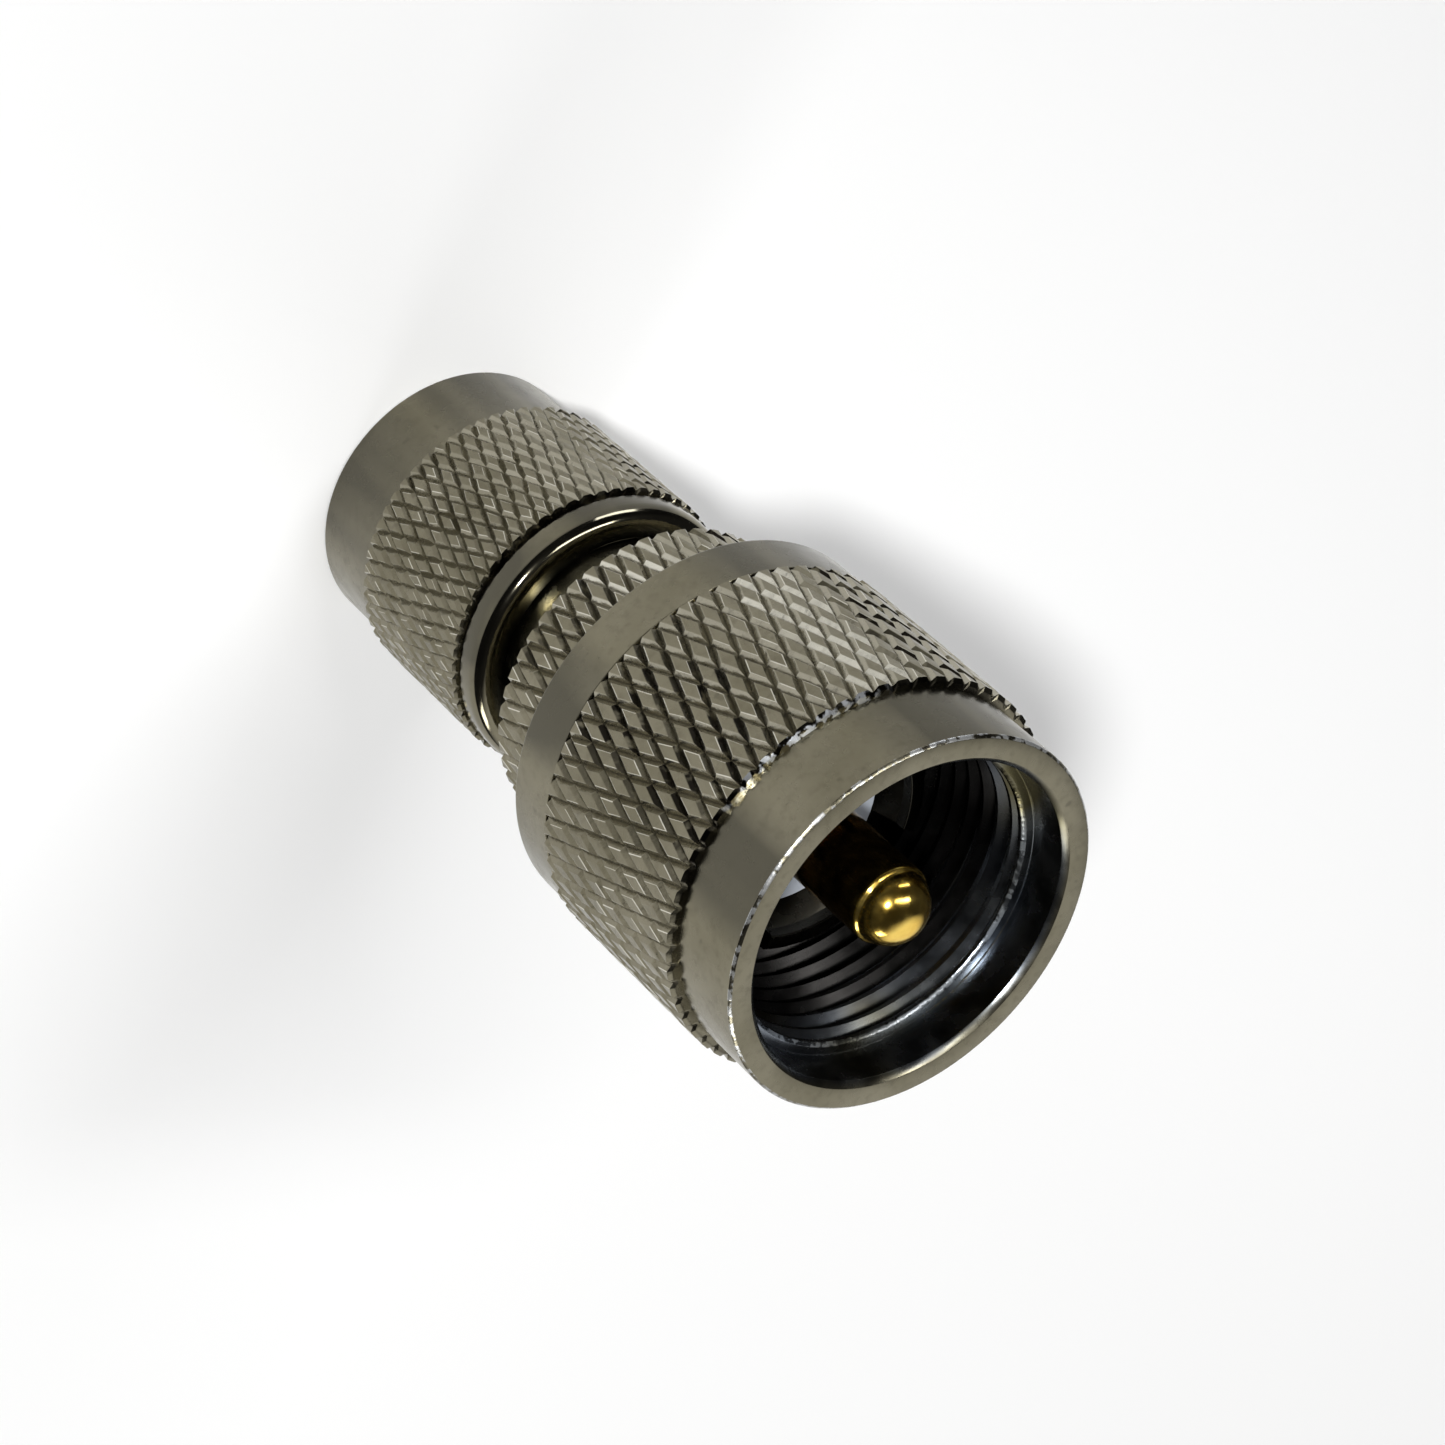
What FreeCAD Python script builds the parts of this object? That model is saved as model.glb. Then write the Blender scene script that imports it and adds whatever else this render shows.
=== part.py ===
import FreeCAD, Part
import math
import os
import re
import Sketcher

# Coaxial adapter: a screw-on plug with a 5/8-24 coupling nut at the top and
# a smaller screw-on plug with a 7/16-28 coupling nut at the bottom.
# The part stands on the mouth of the small nut. +Z is the common axis and
# points out of the mouth of the large nut. Millimetres throughout.

SIZES = [
    ("tnc_collar_length", 4.45, "smooth collar round the mouth of the small nut"),
    ("tnc_knurl_length", 8.2, "knurled grip of the small nut"),
    ("tnc_rim_length", 1.8, "smooth rounded rim of the small nut"),
    ("neck_gap", 3.1, "bare neck between the small nut and the flange"),
    ("flange_length", 4.45, "knurled flange of the main body"),
    ("seat_gap", 0.05, "gap between the flange and the large nut that lies on it"),
    ("uhf_band_length", 2.7, "smooth band at the back of the large nut"),
    ("uhf_knurl_length", 9.95, "knurled grip of the large nut"),
    ("uhf_lip_length", 3.95, "smooth lip round the mouth of the large nut"),
    ("tnc_collar_radius", 6.84, "collar of the small nut"),
    ("tnc_knurl_radius", 7.3, "crests of the small nut's knurl"),
    ("tnc_rim_radius", 7.05, "rim of the small nut"),
    ("tnc_rim_round", 0.8, "rounding of the small nut's rim"),
    ("flange_radius", 7.85, "crests of the flange's knurl"),
    ("uhf_band_radius", 9.68, "band of the large nut"),
    ("uhf_knurl_radius", 9.9, "crests of the large nut's knurl"),
    ("uhf_lip_radius", 9.36, "lip of the large nut"),
    ("edge_break", 0.15, "small chamfer on turned edges"),
    ("band_slope", 0.3, "length of the slope from the knurl to a smooth band"),
    ("mouth_chamfer", 0.3, "chamfer inside each mouth"),
    ("uhf_knurl_teeth", 60, "diamonds round the large nut"),
    ("uhf_knurl_rows", 7, "half diamonds along the large nut"),
    ("uhf_knurl_depth", 0.25, "depth of the large nut's knurl"),
    ("tnc_knurl_teeth", 58, "diamonds round the small nut"),
    ("tnc_knurl_rows", 8, "half diamonds along the small nut"),
    ("tnc_knurl_depth", 0.2, "depth of the small nut's knurl"),
    ("flange_teeth", 50, "diamonds round the flange"),
    ("flange_rows", 3, "half diamonds along the flange"),
    ("flange_depth", 0.24, "depth of the flange's knurl"),
    ("knurl_flat", 0.5, "width of a diamond's flat top as a share of the diamond"),
    ("uhf_thread_radius", 7.42, "crests of the large nut's inner thread"),
    ("uhf_counterbore_radius", 8.0, "plain bore in the mouth of the large nut"),
    ("uhf_counterbore_depth", 2.25, "depth of that plain bore"),
    ("uhf_relief_radius", 8.1, "undercut behind the large nut's thread"),
    ("uhf_relief_length", 1.9, "length of that undercut"),
    ("tnc_thread_radius", 5.15, "crests of the small nut's inner thread"),
    ("tnc_counterbore_radius", 5.75, "plain bore in the mouth of the small nut"),
    ("tnc_counterbore_depth", 1.05, "depth of that plain bore"),
    ("tnc_relief_radius", 5.75, "undercut behind the small nut's thread"),
    ("tnc_relief_length", 2.6, "length of that undercut"),
    ("running_clearance", 0.1, "between a nut and the journal it turns on"),
    ("fit_clearance", 0.02, "between pieces that are pressed or pushed together"),
    ("ring_clearance", 0.05, "along the axis on each side of a retaining ring"),
    ("uhf_journal_radius", 6.9, "journal under the large nut"),
    ("uhf_journal_length", 4.05, "journal from the flange to the contact shoulder"),
    ("uhf_nut_land", 3.2, "length of the large nut's bore on the journal"),
    ("uhf_ring_inner", 6.25, "inner radius of the large retaining ring"),
    ("uhf_ring_outer", 7.5, "outer radius of the large retaining ring"),
    ("uhf_ring_thickness", 0.9, "along the axis"),
    ("uhf_ring_height", 1.4, "from the back of the large nut to its ring"),
    ("uhf_nut_travel", 0.8, "free slide of the large nut along the axis"),
    ("tnc_journal_radius", 5.5, "neck and journal under the small nut"),
    ("tnc_nut_land", 3.7, "length of the small nut's bore on the journal"),
    ("tnc_ring_inner", 5.0, "inner radius of the small retaining ring"),
    ("tnc_ring_outer", 6.1, "outer radius of the small retaining ring"),
    ("tnc_ring_thickness", 0.8, "along the axis"),
    ("tnc_ring_depth", 1.43, "from the back of the small nut to its ring"),
    ("tnc_nut_travel", 0.4, "free slide of the small nut along the axis"),
    ("ring_opening", 24, "degrees left open in each retaining ring"),
    ("crown_radius", 6.1, "outside of the castellated contact ring"),
    ("crown_bore", 5.35, "inside of the castellated contact ring"),
    ("crown_length", 4.9, "contact ring beyond the shoulder"),
    ("notch_depth", 1.45, "depth of the notches in the contact ring"),
    ("notch_width", 2.2, "width of the notches in the contact ring"),
    ("notch_count", 4, "notches in the contact ring"),
    ("notch_angle", 20, "degrees from +X to the first notch"),
    ("uhf_insulator_radius", 4.5, "bore for the large insulator"),
    ("uhf_insulator_length", 7.55, "large insulator"),
    ("uhf_pin_radius", 1.95, "free length of the large centre pin"),
    ("uhf_pin_tip_gap", 0.05, "from the tip of the large pin to the mouth plane"),
    ("uhf_pin_nose_radius", 1.78, "foot of the domed nose"),
    ("uhf_pin_nose_length", 1.4, "height of the domed nose"),
    ("uhf_pin_bevel", 0.12, "bevel between the pin and its nose"),
    ("uhf_pin_stem", 1.5, "the large pin inside its insulator"),
    ("socket_radius", 5.0, "socket in the main body for the rear body"),
    ("socket_depth", 3.0, "depth of that socket"),
    ("through_radius", 2.8, "air bore behind the insulators"),
    ("ferrule_radius", 4.05, "slotted outer contact of the small plug"),
    ("ferrule_bore", 3.3, "inside of the small plug's outer contact"),
    ("ferrule_recess", 2.25, "from the small nut's mouth to the ferrule"),
    ("journal_end_gap", 0.4, "from the small nut's land to the end of the journal"),
    ("slit_width", 0.4, "spring slits in the ferrule"),
    ("slit_length", 4.2, "spring slits in the ferrule"),
    ("slit_count", 4, "spring slits in the ferrule"),
    ("tnc_insulator_recess", 5.2, "from the ferrule's end to its insulator"),
    ("tnc_insulator_length", 9.45, "small insulator"),
    ("tnc_pin_radius", 0.675, "free length of the small centre pin"),
    ("tnc_pin_recess", 0.5, "from the ferrule's end to the tip of the small pin"),
    ("tnc_pin_taper", 0.65, "tapered tip of the small pin"),
    ("tnc_pin_flat", 0.25, "radius of the small pin's flat tip"),
    ("tnc_pin_stem", 1.0, "the small pin inside its insulator"),
    ("pin_collar_radius", 1.9, "collar of the small pin between the insulators"),
    ("pin_spigot_radius", 0.8, "spigot of the small pin in the large pin"),
    ("pin_spigot_length", 3.0, "spigot of the small pin in the large pin"),
    ("gasket_radius", 4.95, "outside of the gasket round the ferrule"),
    ("gasket_length", 1.45, "gasket along the axis"),
    ("overrun", 1.0, "how far a cutting shape stands out of the metal"),
]

doc = FreeCAD.newDocument("coaxial_adapter")
sheet = doc.addObject("Spreadsheet::Sheet", "Sizes")
for row, (alias, amount, note) in enumerate(SIZES, start=1):
    sheet.set(f"A{row}", alias)
    sheet.set(f"B{row}", str(amount))
    sheet.setAlias(f"B{row}", alias)
    sheet.set(f"C{row}", note)
doc.recompute()


def bound(formula):
    """The formula with each name pointing at its cell."""
    return re.sub(r"[a-z]\w*", lambda word: "Sizes." + word.group(), formula)


def value(formula):
    return float(sheet.evalExpression(bound(formula)))


def origin_plane(body, role):
    for feature in body.Origin.OriginFeatures:
        if feature.Role == role:
            return feature
    raise ValueError("no plane " + role)


def place_vertex(sketch, index, position, radius, height):
    """Bind one corner of a profile to its radius and its height."""
    if radius == "0":
        sketch.addConstraint(Sketcher.Constraint("PointOnObject", index, position, -2))
    else:
        row = sketch.addConstraint(
            Sketcher.Constraint("DistanceX", -1, 1, index, position, value(radius)))
        sketch.setExpression(f"Constraints[{row}]", bound(radius))
    if height == "0":
        sketch.addConstraint(Sketcher.Constraint("PointOnObject", index, position, -1))
    else:
        row = sketch.addConstraint(
            Sketcher.Constraint("DistanceY", -1, 1, index, position, value(height)))
        sketch.setExpression(f"Constraints[{row}]", bound(height))


def turned(name, profile, angle="360"):
    """A body of revolution about Z.

    The profile lists its corners as (radius, height). A third item "dome"
    makes the edge to the next corner an arc centred on the axis.
    """
    body = doc.addObject("PartDesign::Body", name)
    body.Label = name
    sketch = body.newObject("Sketcher::SketchObject", name + "_profile")
    sketch.AttachmentSupport = [(origin_plane(body, "XZ_Plane"), "")]
    sketch.MapMode = "FlatFace"
    corners = [FreeCAD.Vector(value(item[0]), value(item[1]), 0) for item in profile]
    count = len(profile)
    for index, item in enumerate(profile):
        start = corners[index]
        end = corners[(index + 1) % count]
        if len(item) == 3:
            rise = end.y - start.y
            middle = start.y + (rise * rise - start.x * start.x) / (2 * rise)
            radius = end.y - middle
            circle = Part.Circle(FreeCAD.Vector(0, middle, 0), FreeCAD.Vector(0, 0, 1), radius)
            first = math.atan2(start.y - middle, start.x)
            sketch.addGeometry(Part.ArcOfCircle(circle, first, math.pi / 2), False)
            sketch.addConstraint(Sketcher.Constraint("PointOnObject", index, 3, -2))
        else:
            sketch.addGeometry(Part.LineSegment(start, end), False)
    for index in range(count):
        sketch.addConstraint(
            Sketcher.Constraint("Coincident", index, 2, (index + 1) % count, 1))
    for index, item in enumerate(profile):
        place_vertex(sketch, index, 1, item[0], item[1])
    turning = body.newObject("PartDesign::Revolution", name + "_turning")
    turning.Profile = sketch
    turning.ReferenceAxis = (sketch, ["V_Axis"])
    turning.setExpression("Angle", bound(angle))
    sketch.Visibility = False
    body.Tip = turning
    doc.recompute()
    return body


def rounded(body, radius, height, fillet):
    """Round the circular edge of a turned body at this radius and height."""
    turning = body.Tip
    names = []
    for number, edge in enumerate(turning.Shape.Edges, start=1):
        curve = edge.Curve
        if not isinstance(curve, Part.Circle):
            continue
        if abs(curve.Radius - value(radius)) < 1e-4 and abs(curve.Center.z - value(height)) < 1e-4:
            names.append(f"Edge{number}")
    feature = body.newObject("PartDesign::Fillet", body.Label + "_round")
    feature.Base = (turning, names)
    feature.setExpression("Radius", bound(fillet))
    body.Tip = feature
    doc.recompute()
    return body


def slots(name, inner, outer, width, bottom, height, count, first_angle="0"):
    """Radial bars evenly spaced about Z, to be cut from a ring."""
    body = doc.addObject("PartDesign::Body", name)
    body.Label = name
    sketch = body.newObject("Sketcher::SketchObject", name + "_outline")
    sketch.AttachmentSupport = [(origin_plane(body, "XY_Plane"), "")]
    sketch.MapMode = "FlatFace"
    sketch.setExpression("AttachmentOffset.Base.z", bound(bottom))
    low = value(inner)
    high = value(outer)
    half = value(width) / 2
    corners = [(low, -half), (high, -half), (high, half), (low, half)]
    for index in range(4):
        start = FreeCAD.Vector(*corners[index], 0)
        end = FreeCAD.Vector(*corners[(index + 1) % 4], 0)
        sketch.addGeometry(Part.LineSegment(start, end), False)
    for index in range(4):
        sketch.addConstraint(Sketcher.Constraint("Coincident", index, 2, (index + 1) % 4, 1))
    for index in (0, 2):
        sketch.addConstraint(Sketcher.Constraint("Horizontal", index))
    sketch.addConstraint(Sketcher.Constraint("Vertical", 3))
    sketch.addConstraint(Sketcher.Constraint("Symmetric", 1, 1, 1, 2, -1))
    for corner, formula in ((1, outer), (3, inner)):
        row = sketch.addConstraint(
            Sketcher.Constraint("DistanceX", -1, 1, corner, 1, value(formula)))
        sketch.setExpression(f"Constraints[{row}]", bound(formula))
    row = sketch.addConstraint(Sketcher.Constraint("DistanceY", 1, 1, 1, 2, 2 * half))
    sketch.setExpression(f"Constraints[{row}]", bound(width))
    bar = body.newObject("PartDesign::Pad", name + "_bar")
    bar.Profile = sketch
    bar.setExpression("Length", bound(height))
    doc.recompute()
    ring = body.newObject("PartDesign::PolarPattern", name + "_ring")
    ring.Originals = [bar]
    ring.Axis = (sketch, ["N_Axis"])
    ring.Angle = 360
    ring.setExpression("Occurrences", bound(count))
    sketch.Visibility = False
    body.Tip = ring
    body.setExpression("Placement.Rotation.Angle", bound(first_angle))
    doc.recompute()
    return body


def circle_points(radius, height, count, shift):
    """Points evenly round a circle, turned on by a share of their spacing."""
    turn = 2 * math.pi / count
    return [FreeCAD.Vector(radius * math.cos(turn * (place + shift)),
                           radius * math.sin(turn * (place + shift)), height)
            for place in range(count)]


def knurl(name, crest, depth, flat, teeth, rows, bottom, length):
    """A diamond knurl: flat-topped diamonds between crossed V grooves.

    Grooves of the two hands cross at the points of the grid. The middle of
    each diamond lies in the same row, half a tooth on. Its flat top is the
    diamond scaled by the flat share and lifted by the depth.
    """
    count = int(value(teeth))
    last = int(value(rows))
    outer = value(crest)
    inner = outer - value(depth)
    share = value(flat)
    base = value(bottom)
    step = value(length) / last
    crossings = []
    middles = []
    heads = []
    for row in range(last + 1):
        shift = 0.5 * (row % 2)
        height = base + row * step
        crossings.append(circle_points(inner, height, count, shift))
        middles.append(circle_points(inner, height, count, shift + 0.5))
        heads.append(circle_points(outer, height, count, shift + 0.5))
    faces = []
    outlines = {0: [], last: []}
    for row in range(last + 1):
        for place in range(count):
            across = (place + row % 2) % count
            left = crossings[row][place]
            right = crossings[row][(place + 1) % count]
            head = heads[row][place]
            middle = middles[row][place]
            top_left = head + (left - middle) * share
            top_right = head + (right - middle) * share
            ends = []
            if row < last:
                ends.append((crossings[row + 1][across], left, right, top_left, top_right))
            if row > 0:
                ends.append((crossings[row - 1][across], right, left, top_right, top_left))
            for tip, first, second, top_first, top_second in ends:
                top_tip = head + (tip - middle) * share
                faces.append(Part.Face(Part.makePolygon(
                    [first, top_first, top_tip, tip, first])))
                faces.append(Part.Face(Part.makePolygon(
                    [second, tip, top_tip, top_second, second])))
                faces.append(Part.Face(Part.makePolygon(
                    [top_first, top_second, top_tip, top_first])))
            if row in outlines:
                outlines[row] += [left, top_left, top_right]
    for outline in outlines.values():
        faces.append(Part.Face(Part.makePolygon(outline + outline[:1])))
    skin = Part.makeCompound(faces)
    skin.sewShape()
    solid = Part.Solid(skin.Shells[0])
    if solid.Volume < 0:
        solid.reverse()
    feature = doc.addObject("Part::Feature", name)
    feature.Shape = solid
    feature.Placement = FreeCAD.Placement()
    feature.Label = name
    return feature


def boolean(kind, name, base, tool):
    feature = doc.addObject(kind, name)
    feature.Base = base
    feature.Tool = tool
    feature.Label = name
    doc.recompute()
    return feature


# Heights along the axis, from the mouth of the small nut upwards.
tnc_collar_top = "tnc_collar_length"
tnc_knurl_top = f"({tnc_collar_top} + tnc_knurl_length)"
tnc_nut_top = f"({tnc_knurl_top} + tnc_rim_length)"
flange_bottom = f"({tnc_nut_top} + neck_gap)"
flange_top = f"({flange_bottom} + flange_length)"
uhf_nut_bottom = f"({flange_top} + seat_gap)"
uhf_band_top = f"({uhf_nut_bottom} + uhf_band_length)"
uhf_knurl_top = f"({uhf_band_top} + uhf_knurl_length)"
mouth = f"({uhf_knurl_top} + uhf_lip_length)"
shoulder = f"({flange_top} + uhf_journal_length)"
crown_top = f"({shoulder} + crown_length)"
notch_floor = f"({crown_top} - notch_depth)"


# Large coupling nut: turned outside, knurled grip, stepped and threaded bore.
uhf_land_top = f"({uhf_nut_bottom} + uhf_nut_land)"
uhf_relief_top = f"({uhf_land_top} + uhf_relief_length)"
uhf_counterbore_floor = f"({mouth} - uhf_counterbore_depth)"
uhf_ring_bottom = f"({uhf_nut_bottom} + uhf_ring_height)"
uhf_ring_top = f"({uhf_ring_bottom} + uhf_ring_thickness)"
uhf_nut_bore = "(uhf_journal_radius + running_clearance)"
uhf_nut_groove = "(uhf_ring_outer + running_clearance)"

uhf_nut_outside = turned("uhf_nut_outside", [
    ("0", uhf_nut_bottom),
    ("uhf_band_radius - edge_break", uhf_nut_bottom),
    ("uhf_band_radius", f"{uhf_nut_bottom} + edge_break"),
    ("uhf_band_radius", f"{uhf_band_top} - band_slope"),
    ("uhf_lip_radius", uhf_band_top),
    ("uhf_lip_radius", f"{mouth} - edge_break"),
    ("uhf_lip_radius - edge_break", mouth),
    ("0", mouth),
])
uhf_nut_knurl = knurl("uhf_nut_knurl", "uhf_knurl_radius", "uhf_knurl_depth", "knurl_flat",
                      "uhf_knurl_teeth", "uhf_knurl_rows", uhf_band_top, "uhf_knurl_length")
uhf_nut_hollow = turned("uhf_nut_hollow", [
    ("0", f"{uhf_nut_bottom} - overrun"),
    (uhf_nut_bore, f"{uhf_nut_bottom} - overrun"),
    (uhf_nut_bore, f"{uhf_ring_bottom} - ring_clearance"),
    (uhf_nut_groove, f"{uhf_ring_bottom} - ring_clearance"),
    (uhf_nut_groove, f"{uhf_ring_top} + ring_clearance"),
    (uhf_nut_bore, f"{uhf_ring_top} + ring_clearance"),
    (uhf_nut_bore, uhf_land_top),
    ("uhf_relief_radius", uhf_land_top),
    ("uhf_relief_radius", uhf_relief_top),
    ("uhf_thread_radius", f"{uhf_relief_top} + uhf_relief_radius - uhf_thread_radius"),
    ("uhf_thread_radius", f"{uhf_counterbore_floor} - edge_break"),
    ("uhf_thread_radius + edge_break", uhf_counterbore_floor),
    ("uhf_counterbore_radius", uhf_counterbore_floor),
    ("uhf_counterbore_radius", f"{mouth} - mouth_chamfer"),
    ("uhf_counterbore_radius + mouth_chamfer", mouth),
    ("uhf_counterbore_radius + mouth_chamfer", f"{mouth} + overrun"),
    ("0", f"{mouth} + overrun"),
])
uhf_nut_solid = boolean("Part::Fuse", "uhf_nut_solid", uhf_nut_outside, uhf_nut_knurl)
uhf_coupling_nut = boolean("Part::Cut", "uhf_coupling_nut", uhf_nut_solid, uhf_nut_hollow)


# Open ring that holds the large nut on its journal.
uhf_retaining_ring = turned("uhf_retaining_ring", [
    ("uhf_ring_inner", uhf_ring_bottom),
    ("uhf_ring_outer", uhf_ring_bottom),
    ("uhf_ring_outer", uhf_ring_top),
    ("uhf_ring_inner", uhf_ring_top),
], "360 - ring_opening")


# Main body: knurled flange, journal with the ring's groove, castellated ring.
uhf_insulator_top = notch_floor
uhf_insulator_bottom = f"({uhf_insulator_top} - uhf_insulator_length)"
socket_top = f"({flange_bottom} + socket_depth)"
uhf_body_groove = "(uhf_ring_inner - running_clearance)"

main_outside = turned("main_outside", [
    ("0", flange_bottom),
    ("uhf_journal_radius", flange_bottom),
    ("uhf_journal_radius", f"{uhf_ring_bottom} - ring_clearance"),
    (uhf_body_groove, f"{uhf_ring_bottom} - ring_clearance"),
    (uhf_body_groove, f"{uhf_ring_top} + uhf_nut_travel + ring_clearance"),
    ("uhf_journal_radius", f"{uhf_ring_top} + uhf_nut_travel + ring_clearance"),
    ("uhf_journal_radius", f"{shoulder} - edge_break"),
    ("uhf_journal_radius - edge_break", shoulder),
    ("crown_radius", shoulder),
    ("crown_radius", f"{crown_top} - edge_break"),
    ("crown_radius - edge_break", crown_top),
    ("0", crown_top),
])
flange_knurl = knurl("flange_knurl", "flange_radius", "flange_depth", "knurl_flat", "flange_teeth",
                     "flange_rows", flange_bottom, "flange_length")
main_hollow = turned("main_hollow", [
    ("0", f"{flange_bottom} - overrun"),
    ("socket_radius", f"{flange_bottom} - overrun"),
    ("socket_radius", socket_top),
    ("through_radius", socket_top),
    ("through_radius", f"{uhf_insulator_bottom} - fit_clearance"),
    ("uhf_insulator_radius", f"{uhf_insulator_bottom} - fit_clearance"),
    ("uhf_insulator_radius", uhf_insulator_top),
    ("crown_bore", f"{uhf_insulator_top} + crown_bore - uhf_insulator_radius"),
    ("crown_bore", f"{crown_top} + overrun"),
    ("0", f"{crown_top} + overrun"),
])
crown_notches = slots("crown_notches", "uhf_insulator_radius", "crown_radius + overrun",
                      "notch_width", notch_floor, "notch_depth + overrun", "notch_count",
                      "notch_angle")
main_solid = boolean("Part::Fuse", "main_solid", main_outside, flange_knurl)
main_bored = boolean("Part::Cut", "main_bored", main_solid, main_hollow)
uhf_plug_body = boolean("Part::Cut", "uhf_plug_body", main_bored, crown_notches)


# Large insulator and the domed centre pin that stands on it.
uhf_pin_foot = f"({uhf_insulator_top} + fit_clearance)"
uhf_pin_tip = f"({mouth} - uhf_pin_tip_gap)"
uhf_nose_foot = f"({uhf_pin_tip} - uhf_pin_nose_length)"
uhf_bevel_foot = f"({uhf_nose_foot} - uhf_pin_bevel)"
uhf_pin_end = f"({uhf_insulator_bottom} + fit_clearance)"

uhf_insulator = turned("uhf_insulator", [
    ("uhf_pin_stem + fit_clearance", uhf_insulator_bottom),
    ("uhf_insulator_radius - fit_clearance", uhf_insulator_bottom),
    ("uhf_insulator_radius - fit_clearance", uhf_insulator_top),
    ("uhf_pin_stem + fit_clearance", uhf_insulator_top),
])
uhf_centre_pin = turned("uhf_centre_pin", [
    ("pin_spigot_radius + fit_clearance", uhf_pin_end),
    ("uhf_pin_stem", uhf_pin_end),
    ("uhf_pin_stem", uhf_pin_foot),
    ("uhf_pin_radius", uhf_pin_foot),
    ("uhf_pin_radius", uhf_bevel_foot),
    ("uhf_pin_nose_radius", uhf_nose_foot, "dome"),
    ("0", uhf_pin_tip),
    ("0", f"{uhf_pin_end} + pin_spigot_length + overrun"),
    ("pin_spigot_radius + fit_clearance", f"{uhf_pin_end} + pin_spigot_length + fit_clearance"),
])


# Small coupling nut, with its rim rounded towards the neck.
tnc_land_bottom = f"({tnc_nut_top} - tnc_nut_land)"
tnc_relief_bottom = f"({tnc_land_bottom} - tnc_relief_length)"
tnc_ring_top = f"({tnc_nut_top} - tnc_ring_depth)"
tnc_ring_bottom = f"({tnc_ring_top} - tnc_ring_thickness)"
tnc_nut_bore = "(tnc_journal_radius + running_clearance)"
tnc_nut_groove = "(tnc_ring_outer + running_clearance)"

tnc_nut_outside = turned("tnc_nut_outside", [
    ("0", "0"),
    ("tnc_collar_radius - edge_break", "0"),
    ("tnc_collar_radius", "edge_break"),
    ("tnc_collar_radius", tnc_knurl_top),
    ("tnc_rim_radius", f"{tnc_knurl_top} + band_slope"),
    ("tnc_rim_radius", tnc_nut_top),
    ("0", tnc_nut_top),
])
rounded(tnc_nut_outside, "tnc_rim_radius", tnc_nut_top, "tnc_rim_round")
tnc_nut_knurl = knurl("tnc_nut_knurl", "tnc_knurl_radius", "tnc_knurl_depth", "knurl_flat",
                      "tnc_knurl_teeth", "tnc_knurl_rows", tnc_collar_top, "tnc_knurl_length")
tnc_nut_hollow = turned("tnc_nut_hollow", [
    ("0", "-overrun"),
    ("tnc_counterbore_radius + mouth_chamfer", "-overrun"),
    ("tnc_counterbore_radius + mouth_chamfer", "0"),
    ("tnc_counterbore_radius", "mouth_chamfer"),
    ("tnc_counterbore_radius", "tnc_counterbore_depth"),
    ("tnc_thread_radius + edge_break", "tnc_counterbore_depth"),
    ("tnc_thread_radius", "tnc_counterbore_depth + edge_break"),
    ("tnc_thread_radius", f"{tnc_relief_bottom} - tnc_relief_radius + tnc_thread_radius"),
    ("tnc_relief_radius", tnc_relief_bottom),
    ("tnc_relief_radius", tnc_land_bottom),
    (tnc_nut_bore, tnc_land_bottom),
    (tnc_nut_bore, f"{tnc_ring_bottom} - ring_clearance"),
    (tnc_nut_groove, f"{tnc_ring_bottom} - ring_clearance"),
    (tnc_nut_groove, f"{tnc_ring_top} + ring_clearance"),
    (tnc_nut_bore, f"{tnc_ring_top} + ring_clearance"),
    (tnc_nut_bore, f"{tnc_nut_top} + overrun"),
    ("0", f"{tnc_nut_top} + overrun"),
])
tnc_nut_solid = boolean("Part::Fuse", "tnc_nut_solid", tnc_nut_outside, tnc_nut_knurl)
tnc_coupling_nut = boolean("Part::Cut", "tnc_coupling_nut", tnc_nut_solid, tnc_nut_hollow)


# Open ring that holds the small nut on its journal.
tnc_retaining_ring = turned("tnc_retaining_ring", [
    ("tnc_ring_inner", tnc_ring_bottom),
    ("tnc_ring_outer", tnc_ring_bottom),
    ("tnc_ring_outer", tnc_ring_top),
    ("tnc_ring_inner", tnc_ring_top),
], "360 - ring_opening")


# Rear body: spigot in the main body, bare neck, journal, slit ferrule.
tnc_journal_end = f"({tnc_land_bottom} - journal_end_gap)"
tnc_body_groove = "(tnc_ring_inner - running_clearance)"
tnc_insulator_bottom = "(ferrule_recess + tnc_insulator_recess)"
tnc_insulator_top = f"({tnc_insulator_bottom} + tnc_insulator_length)"

rear_outside = turned("rear_outside", [
    ("0", "ferrule_recess"),
    ("ferrule_radius - edge_break", "ferrule_recess"),
    ("ferrule_radius", "ferrule_recess + edge_break"),
    ("ferrule_radius", tnc_journal_end),
    ("tnc_journal_radius - edge_break", tnc_journal_end),
    ("tnc_journal_radius", f"{tnc_journal_end} + edge_break"),
    ("tnc_journal_radius", f"{tnc_ring_bottom} - tnc_nut_travel - ring_clearance"),
    (tnc_body_groove, f"{tnc_ring_bottom} - tnc_nut_travel - ring_clearance"),
    (tnc_body_groove, f"{tnc_ring_top} + ring_clearance"),
    ("tnc_journal_radius", f"{tnc_ring_top} + ring_clearance"),
    ("tnc_journal_radius", f"{flange_bottom} - fit_clearance"),
    ("socket_radius - fit_clearance", f"{flange_bottom} - fit_clearance"),
    ("socket_radius - fit_clearance", f"{socket_top} - fit_clearance"),
    ("0", f"{socket_top} - fit_clearance"),
])
rear_hollow = turned("rear_hollow", [
    ("0", "ferrule_recess - overrun"),
    ("ferrule_bore", "ferrule_recess - overrun"),
    ("ferrule_bore", f"{tnc_insulator_top} + fit_clearance"),
    ("through_radius", f"{tnc_insulator_top} + fit_clearance"),
    ("through_radius", f"{socket_top} + overrun"),
    ("0", f"{socket_top} + overrun"),
])
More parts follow.
